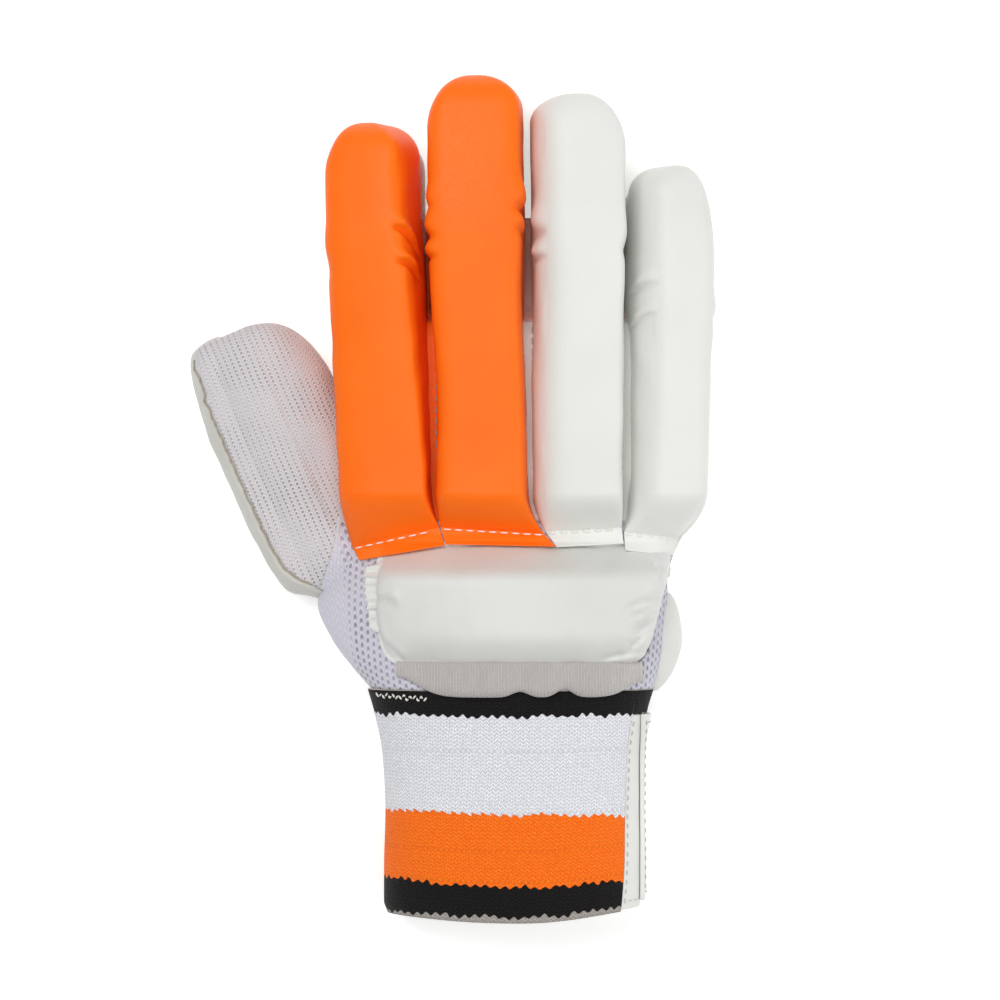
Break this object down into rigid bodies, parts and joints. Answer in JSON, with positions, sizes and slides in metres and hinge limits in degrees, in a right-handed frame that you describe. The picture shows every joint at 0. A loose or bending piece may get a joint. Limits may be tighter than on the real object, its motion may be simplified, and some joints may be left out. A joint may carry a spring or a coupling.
{
  "type": "cricket batting glove",
  "caption": "Right-hand batting glove with padded finger rolls, a padded thumb edge, a bar across the knuckles and a striped knitted wristband, lying on its palm.",
  "frame": {"origin": "on the flat underside of the palm, in line with the middle of the wristband", "axes": "+Y towards the fingertips, +Z out of the back of the hand, -X towards the thumb"},
  "size_m": [0.1754, 0.2806, 0.0491],
  "materials": {
    "palm_leather": "soft matte leather, off-white",
    "finger_knit": "white cotton-feel knit",
    "thumb_knit": "white knit with rows of small eyelets",
    "air_mesh": "white spacer mesh with larger holes",
    "orange_cover": "smooth satin synthetic leather, bright orange",
    "white_cover": "smooth satin synthetic leather, off-white",
    "ribbed_elastic": "gathered fabric with fine ribs",
    "wrist_knit": "rib-knit elastic with black and orange stripes"
  },
  "bodies": {
    "root": {"palm": "palm_leather", "thumb_front": "palm_leather", "hand_back": "air_mesh", "thumb_back": "thumb_knit", "finger_back_index": "finger_knit", "finger_back_middle": "finger_knit", "finger_back_ring": "finger_knit", "finger_back_little": "finger_knit", "finger_roll_index": "orange_cover", "finger_roll_middle": "orange_cover", "finger_roll_ring": "white_cover", "finger_roll_little": "white_cover", "knuckle_pad": "white_cover", "rib_panel": "ribbed_elastic", "thumb_guard": "white_cover", "heel_pad": "white_cover", "cuff_band": "wrist_knit", "closure_base": "white_cover", "closure_strap": "white_cover", "finger_front_index": "palm_leather", "finger_front_middle": "palm_leather", "finger_front_ring": "palm_leather", "finger_front_little": "palm_leather"}
  },
  "joints": []
}
